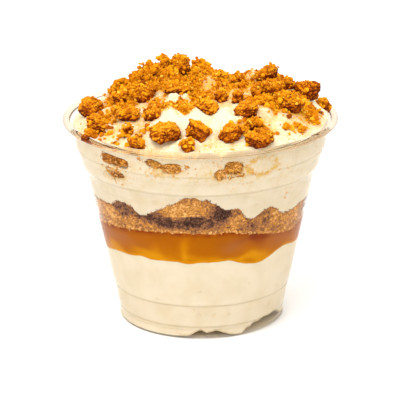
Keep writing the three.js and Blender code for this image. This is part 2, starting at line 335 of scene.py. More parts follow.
def edgeHeight(key, angle):
    # Level plus bell-shaped bumps round the wall, and a little unevenness
    level, bumpRows = edges[key]
    degrees = np.degrees(angle)
    height = np.full(angle.shape, float(level))
    for centre, rise, spread in bumpRows:
        height = height + rise * bell(turnFrom(degrees, centre) ** 2, spread)
    amount, size, seed = edgeGrit[key]
    return height + amount * roughness(atAngle(edgeRadius, angle, 0.0), size, seed)


def pocketHeight(angle):
    # Straight between the listed points, and ragged where the cream has torn off the plastic
    height = np.interp(np.degrees(angle), *np.array(airPockets["line"]).T)
    place = atAngle(airPockets["radius"], angle, 0.0)
    grit = airPockets["grit"] * roughness(place, airPockets["gritSize"], airPockets["seed"])
    return np.maximum(height + grit * np.minimum(height, 1), 0)


def layerEdge(key, columns, lower=0.0):
    # Height round the wall and in the middle
    return edgeHeight(key, around(columns))[None, :] - lower, edges[key][0] - lower


def layerRings(low, high, settings, wallRelief):
    # Underside from the middle out, then the wall, then the top back in. Heights level out as the square of
    # the share of the radius; wallRelief gives what is added to the wall's radius there.
    angle = around(settings["columns"])[None, :]
    share = np.linspace(0, 1, settings["discRows"] + 2)[1:-1, None]

    def disc(surface):
        edge, level = surface
        return atAngle(share * innerRadius(edge), angle, level + (edge - level) * share ** 2)

    part = np.linspace(0, 1, settings["wallRows"])[:, None]
    height = low[0] + (high[0] - low[0]) * part
    radius = innerRadius(height) + cup["reachIn"]
    radius = radius + wallRelief(atAngle(radius, angle, height), angle, part)
    return np.concatenate([disc(low), atAngle(radius, angle, height), disc(high)[::-1]])


def layerGrid(lowKey, highKey, settings, wallRelief):
    # Closed layer between two of the listed edges
    low = layerEdge(lowKey, settings["columns"], cup["overlap"])
    high = layerEdge(highKey, settings["columns"])
    return closedGrid(layerRings(low, high, settings, wallRelief), [0, 0, low[1]], [0, 0, high[1]])


def pressBubbles(relief, wall, angle, bubbles, depth, squash=1.0):
    # Pits where air bubbles touch the plastic; a squash below one makes them wider than tall
    for degrees, level, size in bubbles:
        across = acrossWall(np.degrees(angle), degrees, innerRadius(level))
        away = np.hypot(across * squash, wall[..., 2] - level)
        relief = np.minimum(relief, -depth * ease(1.4 - away / size))
    return relief


# The mound of cream over the rim

mound = {
    "edge": 70.3, "edgeLean": 1.4, "leftRise": 1.1, "crown": 80.5,
    "fullness": 2.7, "fullnessLean": 0.9, "edgeFade": 0.16,
    "dollops": [  # x, y, height, spread
        (-10, 10, 6.6, 8), (-22, 8, 3.2, 7), (27, 9, 3.2, 9), (37, 0, 1.6, 7), (6, 6, 0.6, 7),
        (2, -14, -1.2, 8), (18, -14, 1.5, 6), (-14, -18, 1.6, 7), (30, -18, 1.2, 6), (-30, -16, 1.2, 6),
        (4, -30, 1.6, 7)],
    "reach": 44.1, "foldHeight": 4.6, "foldSize": 6.2, "warp": 5.0, "warpSize": 13,
    "rippleHeight": 1.5, "rippleSize": 2.6, "pressedFlat": 0.8, "seed": 31,
}


def moundEdgeHeight(angle):
    # Climbs to the right, and is pushed up again at the far left
    leftwards = np.clip(-np.cos(angle), 0, 1)
    return mound["edge"] + mound["edgeLean"] * np.cos(angle) + mound["leftRise"] * leftwards ** 4


def moundHeight(x, y):
    # From the edge up to the crown as one less a power of the share of the radius, plus the dollops
    angle = np.arctan2(y, x)
    edge = moundEdgeHeight(angle)
    share = np.minimum(np.hypot(x, y) / innerRadius(edge), 1)
    fullness = mound["fullness"] + mound["fullnessLean"] * np.cos(angle) - np.maximum(np.sin(angle), 0)
    height = edge + (mound["crown"] - edge) * (1 - share ** fullness)
    fade = ease((1 - share) / mound["edgeFade"])
    for dollopX, dollopY, rise, spread in mound["dollops"]:
        height = height + fade * rise * bell((x - dollopX) ** 2 + (y - dollopY) ** 2, spread)
    return height


def creamFolds(x, y):
    # Spooned lumps, with smaller ones on them: rounded where bent noise is far from nothing, creased where it
    # crosses
    flat, size, seed = onPlane(x, y), mound["warpSize"], mound["seed"]
    bent = flat + mound["warp"] * np.stack([
        swell(flat, size, seed), swell(flat, size, seed + 1), np.zeros_like(x)], -1)
    lumps = np.sqrt(swell(bent, mound["foldSize"], seed + 2) ** 2 + 0.003)
    small = np.sqrt(swell(bent, mound["rippleSize"], seed + 3) ** 2 + 0.006)
    return mound["foldHeight"] * (lumps - 0.3) + mound["rippleHeight"] * (small - 0.3)


def inwardShare(x, y):
    # From nothing at the mound's edge to one in the middle
    return 1 - np.minimum(np.hypot(x, y) / mound["reach"], 1)


def pieceCalm(x, y):
    # Less than one under the biscuit pieces, where their weight has pressed the lumps flat
    calm = np.ones_like(x)
    for row in topping["pieces"]:
        away = ((x - row[0]) ** 2 + (y - row[1]) ** 2) / (0.45 * (row[2] + row[3]) / 2) ** 2
        calm = calm * (1 - mound["pressedFlat"] * np.exp(-away / 2))
    return calm


def creamTop(x, y):
    atEdge = 0.35 + 0.65 * ease(inwardShare(x, y) / 0.2)
    return moundHeight(x, y) + creamFolds(x, y) * pieceCalm(x, y) * atEdge


# Biscuit pieces: where they lie

topping = {
    "pieces": [  # x, y, width, depth, height, turn, lean, squareness
        (-37.5, -1.5, 9.2, 8, 8.4, 20, 8, 2.6), (-34.5, -17, 9.4, 7.5, 6, -15, -16, 2.8),
        (-37, -21.5, 5.8, 4.4, 4.4, 30, -20, 3), (-26, -3, 7.7, 6.5, 6, 10, 10, 3),
        (-18.5, -5.5, 7.3, 6.2, 6.6, 40, -12, 3), (-24, -18.5, 8.4, 7, 4.8, -10, 4, 2.6),
        (-16, -23.5, 6.6, 5.6, 6.2, 25, 14, 2.6), (-24.3, -27.8, 4.3, 4.2, 4.8, 0, 10, 3),
        (-21, -35, 7.4, 5.5, 4.6, -12, -26, 3.2), (-12, -34.5, 10.6, 8.5, 8, 10, 4, 2.5),
        (-1, -36, 8.4, 6.6, 6.4, -10, -26, 3), (-4.5, -40.8, 5.2, 4.2, 6, 15, 6, 2.8),
        (2.5, -21, 7.7, 6.5, 6, -20, -24, 2.8), (10.5, -36.3, 8.6, 6.4, 6.2, 15, 22, 2.8),
        (19.5, -37, 9.8, 7.4, 6.8, 20, 8, 2.8), (18.5, -30.5, 5.2, 4.5, 4.2, 0, -10, 2.6),
        (15.8, -23.8, 8.2, 6.4, 6, 30, -8, 3), (23, 6.5, 8.4, 6, 6.2, -8, 28, 4.5),
        (22.3, -7.5, 11, 6.6, 5.6, 6, 4, 3.2), (29.5, -15.5, 11.6, 6.6, 6.2, -14, -6, 3),
        (21.3, -17.5, 4.9, 4.5, 4.2, 35, 10, 3), (30, 0.5, 4.4, 4, 4.4, 0, 20, 3),
        (37, -1, 9, 7, 7.2, 18, -4, 6), (43, 5.5, 5, 4.4, 5, 40, -24, 3.4),
        (13, 4, 5.2, 4.4, 4.4, -30, 16, 2.8), (13, -14, 5.3, 4.5, 5, 25, -10, 2.8),
        (-6.8, 6.5, 7, 6.5, 7.4, 20, -8, 2.7), (-11.8, 9.5, 4.7, 4.5, 5.4, 0, 12, 2.7),
        (-18.5, 5, 7.3, 6, 5, 35, 24, 2.7), (-8, -4.5, 8, 6, 4.2, -20, 6, 2.7),
        (7, -9.5, 4.7, 4.4, 5.2, 15, 10, 2.7), (-28.5, 16, 7, 6, 5.2, 30, 8, 2.8),
        (-19, 27, 8.2, 6.8, 6, -20, -8, 3), (-3, 24, 6.2, 5.4, 4.6, 15, 10, 2.8),
        (7, 33, 8.4, 6.8, 4.8, 40, -6, 2.8), (17, 25, 6.6, 6, 4.2, 10, 12, 3.4),
        (30, 24, 8.4, 6.4, 4.6, -35, 8, 4), (-9, 38.5, 6, 5.2, 4.8, 20, -14, 2.8),
        (20, 36, 5.4, 4.8, 4.6, 0, 8, 3), (39.5, 13.5, 5, 4.4, 4.2, 50, 10, 3)],
    # by row, where it differs
    "dusted": {17: 0.3, 22: 0.15, 26: 1.1, 27: 1.1}, "darker": {17: 0.3, 22: 0.6, 21: 0.3, 16: 0.2},
    "lift": 0.25, "spacing": 0.26, "cuts": 9, "cutAt": (0.78, 1.02), "seed": 100,
    "lumpSize": 0.5, "lumps": 0.2, "frayedSize": 1.5, "warp": 0.5, "warpSize": 1.3, "coarseSize": 2.6,
    "grain": 1.5, "pitDepth": 0.42, "fineGrain": 0.8, "finePit": 0.34, "fineSize": 0.55, "fineDepth": 0.2,
    "clump": 2.6, "clumpDepth": 0.45,
}
wallPieces = {
    "pieces": [  # angle, height, width, depth, tallness, lean, squareness
        (-132, 65.3, 13, 5, 4, -5, 5), (-133, 60.4, 8.6, 4, 3, 5, 2.6), (-111.5, 66.8, 6.4, 4, 3, -14, 3),
        (-103, 65.6, 7.6, 5, 4, 3, 3), (-75.2, 65.6, 7.4, 5, 5, -8, 3), (-81.5, 63.4, 4, 4, 4.2, 30, 3),
        (148, 64.5, 8.4, 5, 4.8, 14, 3), (96, 65.7, 6.4, 4.6, 4.2, -20, 3), (42, 63.9, 9, 5, 4.6, 10, 3.4)],
    "golden": [2, 3, 4, 5],  # which of them are paler
    "splinters": [
        (-107.4, 66, 4, 3, 2.4, -20, 2.8), (-117, 67.7, 4.4, 3, 1.2, -12, 3),
        (-114.4, 66.9, 3, 3, 1.4, -30, 3), (-78.8, 64.7, 3.6, 3, 2.6, 25, 2.8),
        (-72.6, 63.3, 3.8, 3, 1.8, -10, 2.8), (-76.6, 62.6, 2.4, 3, 1.4, 10, 2.8),
        (-70.4, 66.6, 3, 3, 2, -30, 2.8), (-137, 61.9, 3, 3, 2, 50, 3), (-130.4, 61.8, 3.4, 3, 1.8, -40, 3),
        (-134.2, 58.3, 1.6, 3, 3, 10, 3), (-140, 63.6, 2.4, 3, 1.6, 20, 2.8),
        (-96.4, 66.4, 2.4, 3, 1.6, -20, 2.8), (143, 62.4, 3, 3, 1.8, 20, 2.8),
        (152.5, 62.6, 2.6, 3, 2, -20, 2.8), (100, 64.2, 3, 3, 1.8, 30, 2.8),
        (91, 67, 2.4, 3, 1.4, -10, 2.8), (36.6, 62.4, 3, 3, 1.8, 10, 2.8), (48, 65, 2.6, 3, 2, -30, 2.8)],
    "stains": [  # angle, height, width, tallness, share of golden dust on the cream behind the plastic
        (-135, 60.6, 14, 7, 0.5), (-106, 64, 22, 6, 0.42), (-77, 63.6, 18, 7, 0.5), (-66, 60.5, 14, 6, 0.24),
        (-48, 62, 12, 10, 0.2), (148, 62.5, 16, 7, 0.5), (96, 64, 16, 7, 0.5), (42, 62.5, 18, 7, 0.5)],
    "stainRings": [  # angle, height, half width in degrees, half height, share
        (-61, 65.2, 7.2, 2.9, 0.62), (120, 64.5, 7, 2.6, 0.62)],
    "inset": 1.3, "splinterInset": 0.3, "reachIn": 0.2, "grainsFurther": 0.03,
    "creamGivesWay": 1.3, "pitDepth": 0.5, "fray": 0.16,
    "stain": 0.3, "stainRadius": 42, "paler": 0.5, "splinterPaler": 0.15,
}


def turned(lean, turn):
    # Lean tips the piece to its side, turn then spins it upright
    c, s = math.cos(math.radians(lean)), math.sin(math.radians(lean))
    tip = np.array([[c, 0, -s], [0, 1, 0], [s, 0, c]])
    c, s = math.cos(math.radians(turn)), math.sin(math.radians(turn))
    return np.array([[c, -s, 0], [s, c, 0], [0, 0, 1]]) @ tip


def biscuitShape(size, squareness, seed, fray=0.0):
    # Rounded block: a direction grid stretched until the sum of powers is one, broken off along a few planes,
    # then lumps, grains with pits between them and a fine rough skin
    settings = topping
    mean = sum(size) / 3
    columns = int(pi * mean / settings["spacing"])
    down = np.linspace(-pi / 2, pi / 2, columns // 2 + 2)[:, None]
    spin = around(columns)[None, :]
    direction = atAngle(np.cos(down), spin, np.sin(down))
    reach = 1 / (np.abs(direction) ** squareness).sum(-1) ** (1 / squareness)
    draw = np.random.default_rng(seed)
    normals = draw.normal(size=(settings["cuts"], 3))
    for normal, distance in zip(normals, draw.uniform(*settings["cutAt"], settings["cuts"])):
        facing = direction @ (normal / np.linalg.norm(normal))
        reach = np.minimum(reach, distance / np.maximum(facing, 0.05))
    body = direction * reach[..., None] * np.array(size) / 2
    apart = np.array([seed * 37.0, seed * 11.0, 0])
    own = body + apart
    lump = 1 + settings["lumps"] * roughness(own, settings["lumpSize"] * mean, seed, 2)
    lump = lump + fray * roughness(own, settings["frayedSize"], seed + 31, 2)
    there = body * lump[..., None] + apart
    there = there + settings["warp"] * np.stack(
        [swell(there, settings["warpSize"], seed + 20 + axis) for axis in range(3)], -1)
    near, second, big = granules(there, settings["grain"], seed)
    bump = ease((second - near) / 0.5)
    near, second, small = granules(there, settings["fineGrain"], seed + 7)
    smallBump = ease((second - near) / 0.6)
    coarse = swell(own, settings["coarseSize"], seed + 9)
    fine = roughness(own, settings["fineSize"], seed + 3, 2)
    depth = settings["pitDepth"] * (1 - bump) * (0.6 + 0.7 * coarse)
    depth = depth + settings["finePit"] * (1 - smallBump) * (0.3 + 0.9 * small)
    depth = depth + settings["fineDepth"] * fine
    depth = depth + settings["clumpDepth"] * roughness(own, settings["clump"], seed + 13, 2)
    body = body * lump[..., None] - direction * depth[..., None]
    # relief: how far each point stands out; the material paints shade into the pits from it
    values = {
        "relief": np.clip(0.42 * bump + 0.38 * smallBump - 0.3 * fine + 0.25 * coarse, 0, 1),
        "grain": 0.5 * big + 0.5 * small}
    # the end rows are single points
    points, quads, fans = closedGrid(body[1:-1], body[0, 0], body[-1, 0])
    values = {key: np.concatenate([v[1:-1].ravel(), [v[0, 0], v[-1, 0]]]) for key, v in values.items()}
    return points, quads, fans, values


def upwardness(points, quads, triangles):
    # Height part of each point's normal, from the faces round it
    total = np.zeros_like(points)
    for faces in (quads, triangles):
        corners = [points[corner] for corner in faces.T]
        if len(corners) == 4:
            normal = np.cross(corners[2] - corners[0], corners[3] - corners[1])
        else:
            normal = np.cross(corners[1] - corners[0], corners[2] - corners[0])
        for corner in faces.T:
            np.add.at(total, corner, normal)
    return total[:, 2] / np.maximum(np.linalg.norm(total, axis=1), 1e-12)


print("shapes described")

# Materials

# PET, thermoformed: water-clear and glossy, seen by thin grey lines where the wall is met edge on
petWall, tree = newMaterial("clearPetThermoformed")
lip = attribute(tree, "lip")
tone = ramp(tree, lip, [(0.3, "#fffefc"), (1.0, "#fcf4ea")])
shine = ramp(tree, lip, [(0.0, "#747474"), (0.6, "#f4f4f4")])
gloss = addNode(tree, "ShaderNodeBsdfPrincipled", {
    "Base Color": tone, "Roughness": 0.03, "IOR": 1.09, "Transmission Weight": 1.0,
    "Specular Tint": shine}).outputs[0]
through = addNode(tree, "ShaderNodeBsdfTransparent", {"Color": linearColour("#fbfaf8")}).outputs[0]
rays = addNode(tree, "ShaderNodeLightPath").outputs
wall = gloss
for passing in ("Is Shadow Ray", "Is Diffuse Ray"):
    # lamps and bounced light go straight through
    wall = addNode(tree, "ShaderNodeMixShader", {0: rays[passing], 1: wall, 2: through}).outputs[0]
haze = addNode(tree, "ShaderNodeVolumeAbsorption", {"Color": linearColour("#d8c198"), "Density": 150.0})
addNode(tree, "ShaderNodeOutputMaterial", {"Surface": wall, "Volume": haze.outputs[0]})


def creamMaterial(name, deep, pale, patchSize, wet):
    # Whipped cream and mascarpone: dense white fat foam, soft light inside, a faint moist sheen
    material, tree = newMaterial(name)
    tone = ramp(tree, noise(tree, patchSize, 3.0, 0.55), [(0.3, deep), (0.62, pale)])
    # painted shade: darkens the cream towards an olive tone at the rib lines and the torn edges, by the
    # attribute
    tone = blend(tree, attribute(tree, "paintedShade"), tone, linearColour("#b09a68"))
    shader = finishMaterial(tree, tone, wet, 1.45, 0.2, {
        "Normal": bumps(tree, noise(tree, 0.9, 4.0, 0.65), 0.12, 0.3),
        "Subsurface Weight": 0.3, "Subsurface Radius": (1.0, 0.7, 0.42), "Subsurface Scale": 1.6 * metre})
    return material, tree, shader, tone


setCream = creamMaterial("setCreamPoured", "#dccfb3", "#e3d8c2", 7, 0.42)[0]
whippedCream, tree, shader, tone = creamMaterial("whippedCreamSpooned", "#d8cbae", "#dfd4bf", 5, 0.4)
# painted light: the open mound top gets a paler cream than the same cream behind the plastic, as if lit more
# strongly
tone = blend(tree, attribute(tree, "openPaintedLit"), tone, linearColour("#efe0bd"))
# painted shade and dust: a yellower cream in the creases between the lumps
tone = blend(tree, attribute(tree, "creaseShadeAndDust"), tone, linearColour("#ead092"))

# Biscuit dust caught in the cream's skin: golden specks, thickest where the crumble was heaped, moist and
# duller behind the plastic
specks = noise(tree, 0.8, 3.0, 0.7)
cover = stretched(tree, scaled(tree, specks, 1.6, attribute(tree, "dusted")), 0.84, 1.45)
dustTone = ramp(tree, specks, [(0.35, "#cc7c06"), (0.5, "#e69c0e"), (0.65, "#f6be34")])
dustTone = blend(tree, attribute(tree, "openPaintedLit"), linearColour("#d6b25c"), dustTone)
tree.links.new(blend(tree, cover, tone, dustTone), shader.inputs["Base Color"])

# Caramel sauce, poured: glassy brown sugar, orange-brown inside, lit golden where it thins over the cream and
# cloudy tan where cream has been stirred in
caramel, tree = newMaterial("caramelSaucePoured")
level = scaled(tree, noise(tree, 5, 4.0, 0.65), 0.4, scaled(tree, attribute(tree, "rise"), 1.0, -0.2))
tone = ramp(tree, level, [
    (0.0, "#d08c08"), (0.2, "#c07602"), (0.4, "#b06402"),
    (0.6, "#a25704"), (0.82, "#96490a"), (1.0, "#7e3210")])
tone = blend(tree, attribute(tree, "cloudy"), tone, linearColour("#a86a3c"))
finishMaterial(tree, tone, 0.3, 1.48, 0.03, {
    "Subsurface Weight": 0.1, "Subsurface Radius": (1.0, 0.5, 0.1), "Subsurface Scale": 0.8 * metre})


def biscuitMaterial(name, stops, dustStops, rough):
    # Baked biscuit, crumbled: dry and porous, pale golden crumb on what stands out; painted shade makes the
    # pits darker, and on the loose pieces the undersides too
    material, tree = newMaterial(name)
    crumb = noise(tree, 0.55, 3.0, 0.7)
    # painted shade: the relief value darkens the pits, and on the loose pieces the undersides
    level = scaled(tree, attribute(tree, "relief"), 0.55, -0.47)
    level = scaled(tree, crumb, 0.7, level)
    level = scaled(tree, attribute(tree, "grain"), 0.22, level)
    level = scaled(tree, noise(tree, 4, 1.0), 0.3, level)
    cover = stretched(tree, scaled(tree, attribute(tree, "dust"), 1.0, crumb), 0.8, 1.4, 0.9)
    tone = blend(tree, cover, ramp(tree, level, stops), ramp(tree, crumb, dustStops))
    finishMaterial(tree, tone, rough, 1.45, 0.1, {"Normal": bumps(tree, crumb, 0.5, 0.25)})
    return material


bakedBiscuit = biscuitMaterial("gingerBiscuitCrumbled", [
    (0.06, "#5e2203"), (0.28, "#a04a05"), (0.5, "#cc7208"), (0.72, "#ea9614"), (1.0, "#fcc858")],
    [(0.35, "#d07a06"), (0.5, "#ec9a0c"), (0.65, "#fabe34")], 0.9)
pressedBiscuit = biscuitMaterial("gingerBiscuitAgainstPlastic", [
    (0.1, "#7e4818"), (0.32, "#b47028"), (0.55, "#dc9436"), (0.78, "#f0b25a"), (1.0, "#f8d690")],
    [(0.35, "#d08c34"), (0.5, "#e8aa4e"), (0.65, "#f6ca7c")], 0.6)

# Biscuit crumb soaked with cream and caramel: moist, purple-brown to golden, with dry dark grains
soakedCrumb, tree = newMaterial("biscuitCrumbSoaked")
crumb = noise(tree, 0.62, 3.0, 0.8)
tone = ramp(tree, scaled(tree, crumb, 1.7, scaled(tree, attribute(tree, "shade"), 1.0, -0.82)), [
    (0.0, "#3e2a24"), (0.2, "#6e4c3e"), (0.38, "#94664a"),
    (0.55, "#b47a44"), (0.75, "#cf9040"), (1.0, "#eec080")])
finishMaterial(tree, tone, 0.7, 1.45, 0.04, {"Normal": bumps(tree, crumb, 0.4, 0.25)})

# Dry biscuit crumbs: each grain has one of the biscuit's own shades
grainMaterial, tree = newMaterial("biscuitDustAndCrumbs")
tone = ramp(tree, attribute(tree, "shade"), [
    (0.0, "#8e4204"), (0.28, "#c67006"), (0.55, "#e29408"), (0.8, "#f2ae18"), (1.0, "#f8c444")])
finishMaterial(tree, tone, 0.85, 1.45, 0.1)

# Matte white paper sweep: even, with a trace of fibre
whiteSweep, tree = newMaterial("mattePaperSweep")
tone = ramp(tree, noise(tree, 10 / 9, 2.0), [(0.3, "#fbfbfb"), (0.7, "#ffffff")])
finishMaterial(tree, tone, 0.9, 1.5, 0.1)

print("materials ready")

# Cup

profile = cupProfile()
rings = atAngle(profile[:, :1], around(cup["columns"])[None, :], profile[:, 1:])
points, quads, fans = closedGrid(rings, [0, 0, 0], [0, 0, cup["floor"]])
makePiece("cupShell", points, quads, fans, petWall, ["cup"], {
    "lip": ease((points[:, 2] - cup["lipFrom"]) / cup["lipBlend"])})
print("cup made")

# Bottom cream: poured flat against the wall, tiny bubbles, torn edges over trapped air at the foot

bottomCream = {
    "columns": 640, "wallRows": 110, "discRows": 10, "seed": 5,
    "bubbles": 26, "bubbleHeights": (3, 28), "bubbleSizes": (0.35, 0.7), "bubbleDepth": 0.22,
    "seenBubbles": [(-91, 18.5, 0.7), (-92.5, 9.2, 0.8), (-72, 9, 0.7), (-60, 20, 0.5), (-120, 14, 0.5)],
    "pocketInner": 0.8, "pocketOuter": 0.94, "leastPocket": 0.2, "tornShadeHeight": 0.8,
    "undersideShares": [0.4, 0.7, 0.8, 0.84, 0.87, 0.9, 0.93, 0.96, 0.98, 0.995],
}


def bottomRelief(wall, angle, part):
    draw = np.random.default_rng(bottomCream["seed"])
    count = bottomCream["bubbles"]
    ranges = [(-180, 180), bottomCream["bubbleHeights"], bottomCream["bubbleSizes"]]
    bubbles = list(zip(*[draw.uniform(*span, count) for span in ranges])) + bottomCream["seenBubbles"]
    relief = pressBubbles(np.zeros(wall.shape[:2]), wall, angle, bubbles, bottomCream["bubbleDepth"])
    return relief - cup["ribDepth"] * ribShare(wall[..., 2])


def bottomCreamRings(topEdge):
    settings = bottomCream
    angle = around(settings["columns"])[None, :]
    footLevel = cup["floor"] - cup["reachIn"]
    foot = footLevel + pocketHeight((angle + pi) % (2 * pi) - pi)
    rings = layerRings((foot, 0), topEdge, settings, bottomRelief)
    # the underside is flat on the cup's floor and lifts only near the wall
    share = np.array(settings["undersideShares"])[:, None]
    lift = ease((share - settings["pocketInner"]) / (settings["pocketOuter"] - settings["pocketInner"]))
    height = footLevel + lift * (foot - cup["floor"] + cup["reachIn"])
    rings[:len(share)] = atAngle(share * (innerRadius(height) + cup["reachIn"]), angle, height)
    return rings


def paintedCreamShade(points):
    # Painted shade: thin darker lines at the ribs, and a darker band along the torn edge over the air pockets
    pocket = pocketHeight(angleOf(points))
    above = points[:, 2] - cup["floor"] - pocket
    torn = ease(1 - above / bottomCream["tornShadeHeight"]) * (pocket > bottomCream["leastPocket"])
    return np.clip(0.2 * ribShare(points[:, 2]) + 0.5 * torn, 0, 1)


topEdge = layerEdge("amberBottom", bottomCream["columns"])
footMiddle = [0, 0, cup["floor"] - cup["reachIn"]]
points, quads, fans = closedGrid(bottomCreamRings(topEdge), footMiddle, [0, 0, topEdge[1]])
makePiece("bottomCreamPoured", points, quads, fans, setCream, ["bottom_cream"], {
    "paintedShade": paintedCreamShade(points)})
print("bottom cream made")

# Amber sauce

amber = {
    "columns": 448, "wallRows": 34, "discRows": 8, "patchRadius": 35, "reliefDepth": 0.03, "reliefSize": 3,
    "goldenHeight": 1.3, "crumbHeight": 2.6, "crumbSize": 1.2,
    "lit": [  # angle, height, width, tallness, how much paler: where light gets through
        (-119, 31.6, 14, 4.4, 0.44), (-99, 33.5, 4.4, 10, 0.36), (-57, 30.6, 13, 5, 0.54),
        (-85, 31, 22, 2.6, 0.28), (-64, 37, 14, 3, -0.3), (-47, 36.6, 14, 3.4, -0.34),
        (-68, 30.4, 6, 2, 0.2), (-152, 30, 18, 5, 0.42), (-25, 32, 12, 3, 0.15), (30, 31, 14, 4, 0.34),
        (95, 31, 12, 5, 0.3), (64, 34, 5, 8, 0.2), (150, 32, 15, 3, 0.25)],
    "cloudy": [  # angle, height, width, tallness, share
        (-146, 35, 22, 5, 0.75), (-71, 36, 9, 5, 0.6), (-40, 35, 16, 6, 0.6), (-20, 35, 10, 7, 0.7),
        (-165, 33, 10, 9, 0.8), (12, 35, 18, 6, 0.6), (78, 36, 14, 6, 0.6), (125, 34, 22, 7, 0.7),
        (172, 34, 12, 7, 0.7)],
}


def patchShare(points, rows, radius):
    # Sum of soft oval patches on the wall, with wandering outlines
    points = points + 1.6 * np.stack([swell(points, 4, 45 + axis) for axis in range(3)], -1)
    degrees = np.degrees(angleOf(points))
    total = np.zeros(len(points))
    for centre, level, width, tallness, amount in rows:
        across = acrossWall(degrees, centre, radius) / (width / 2)
        total += amount * np.exp(-across ** 2 - ((points[:, 2] - level) / (tallness / 2)) ** 2)
    return total


def amberShade(points):
    # Golden at the bottom edge, even between, brown with soaked crumb in the top band; less where light gets
    # through
    angle = angleOf(points)
    low, high = edgeHeight("amberBottom", angle), edgeHeight("amberTop", angle)
    up, down = points[:, 2] - low, high - points[:, 2]
    grains = 0.5 * roughness(points, amber["crumbSize"], 43) + 0.5
    shade = 0.5 + 0.16 * (up / (high - low) - 0.5) - 0.34 * ease(1 - up / amber["goldenHeight"])
    shade = shade + 0.75 * ease(1 - down / amber["crumbHeight"]) * grains
    return np.clip(shade - patchShare(points, amber["lit"], amber["patchRadius"]), 0, 1)


def amberRelief(wall, angle, part):
    return -amber["reliefDepth"] * (1 + swell(wall, amber["reliefSize"], 41))


points, quads, fans = layerGrid("amberBottom", "amberTop", amber, amberRelief)
cloudy = np.clip(patchShare(points, amber["cloudy"], amber["patchRadius"]), 0, 0.85)
makePiece("amberSauce", points, quads, fans, caramel, ["amber_layer"], {
    "rise": amberShade(points), "cloudy": cloudy})
print("amber sauce made")

# Biscuit layer: soaked crumb packed against the wall

biscuitLayer = {
    "columns": 768, "wallRows": 52, "discRows": 8, "seed": 61,
    "grain": 1.7, "fineGrain": 0.75, "pitDepth": 0.45, "patchRadius": 38,
    "darkHeight": 0.9, "goldenHeight": 1.5,
    # dark lumps, a golden slab and speckled parts
    "patches": [  # angle, height, width, tallness, lean, change of shade
        (-136, 47.6, 6, 6.4, 0, -0.3), (-124, 46.4, 8, 4, -20, -0.24), (-113, 45.4, 11, 5, -14, -0.34),
        (-97, 50.6, 21, 5.4, 4, 0.19), (-97, 47.6, 16, 0.5, 4, 0.3), (-84, 51.4, 6, 4, -20, -0.16),
        (-126, 43.4, 13, 2.6, -6, 0.04), (-101, 44.8, 18, 4, 0, -0.26), (-86, 45.8, 16, 4.8, 10, -0.24),
        (-79.5, 49, 5, 6, 0, -0.34), (-74, 48.3, 8, 2.4, 0, -0.1), (-63, 43.6, 7, 5, 0, -0.2),
        (-53, 44.6, 3.6, 5, 0, -0.22), (-71, 45.2, 8, 3.6, 0, 0.14), (-45, 44, 6, 6, 0, 0.12),
        (-32, 41.5, 12, 7, 20, 0.16), (-160, 43, 10, 6, 0, 0.16), (-146, 43.5, 12, 4.4, 0, 0.12),
        (-135, 42.4, 14, 2.4, 0, 0.08), (-8, 43.5, 12, 5, 0, -0.24), (14, 42, 10, 5, 10, 0.16),
        (36, 44, 14, 5, -8, -0.22), (70, 46, 16, 4.6, 6, 0.3), (92, 43, 10, 5, 0, -0.26),
        (116, 44, 15, 5, 0, 0.1), (140, 42, 10, 4, 0, -0.2), (162, 45, 11, 5, -10, 0.26),
        (178, 43, 8, 5, 0, -0.22)],
}


def biscuitLayerShade(points):
    # Dark to light: each grain's own value, painted shade in the gaps between grains, the patches, a dark top
    # edge and golden grains over the sauce
    seed = biscuitLayer["seed"]
    angle = angleOf(points)
    near, second, own = granules(points, biscuitLayer["grain"], seed)
    nearFine, secondFine, ownFine = granules(points, biscuitLayer["fineGrain"], seed + 9)
    shade = 0.54 + 0.14 * (own - 0.5) + 0.3 * (ownFine - 0.5)
    shade = shade + 0.16 * roughness(points, 5, 71) + 0.2 * roughness(points, 1.1, 72)
    # painted shade: darker in the gaps between the grains
    shade = shade + 0.08 * (ease((second - near) / 0.3) - 0.8)
    shade = shade + 0.1 * (ease((secondFine - nearFine) / 0.5) - 0.6)
    outline = 1.6 + 0.3 * swell(points, 1.6, 77)
    for degrees, level, width, tallness, lean, change in biscuitLayer["patches"]:
        across = acrossWall(np.degrees(angle), degrees, biscuitLayer["patchRadius"])
        along, over = tilted(across, points[:, 2] - level, lean)
        away = np.sqrt((along / (width / 2)) ** 2 + (over / (tallness / 2)) ** 2)
        shade = shade + change * ease(outline - away)
    under = edgeHeight("biscuitTop", angle) - points[:, 2]
    darker = ease(1 - under / biscuitLayer["darkHeight"])
    shade = shade - 0.07 * darker * (0.6 + 0.9 * swell(points, 4, 81))
    above = points[:, 2] - edgeHeight("amberTop", angle)
    return np.clip(shade + 0.13 * ease(1 - above / biscuitLayer["goldenHeight"]), 0, 1)


def biscuitLayerRelief(wall, angle, part):
    # Grains touch the plastic, the gaps between them stand back; both ends are held at the wall
    near, second, own = granules(wall, biscuitLayer["grain"], biscuitLayer["seed"])
    gap = 1 - ease((second - near) / 0.35)
    hold = ease(part / 0.06) * ease((1 - part) / 0.06)
    return -hold * biscuitLayer["pitDepth"] * gap * (0.45 + 0.55 * own)


points, quads, fans = layerGrid("amberTop", "biscuitTop", biscuitLayer, biscuitLayerRelief)
makePiece("biscuitLayerSoaked", points, quads, fans, soakedCrumb, ["biscuit_layer"], {
    "shade": biscuitLayerShade(points)})
print("biscuit layer made")

# Top cream: wall part, then the spooned mound

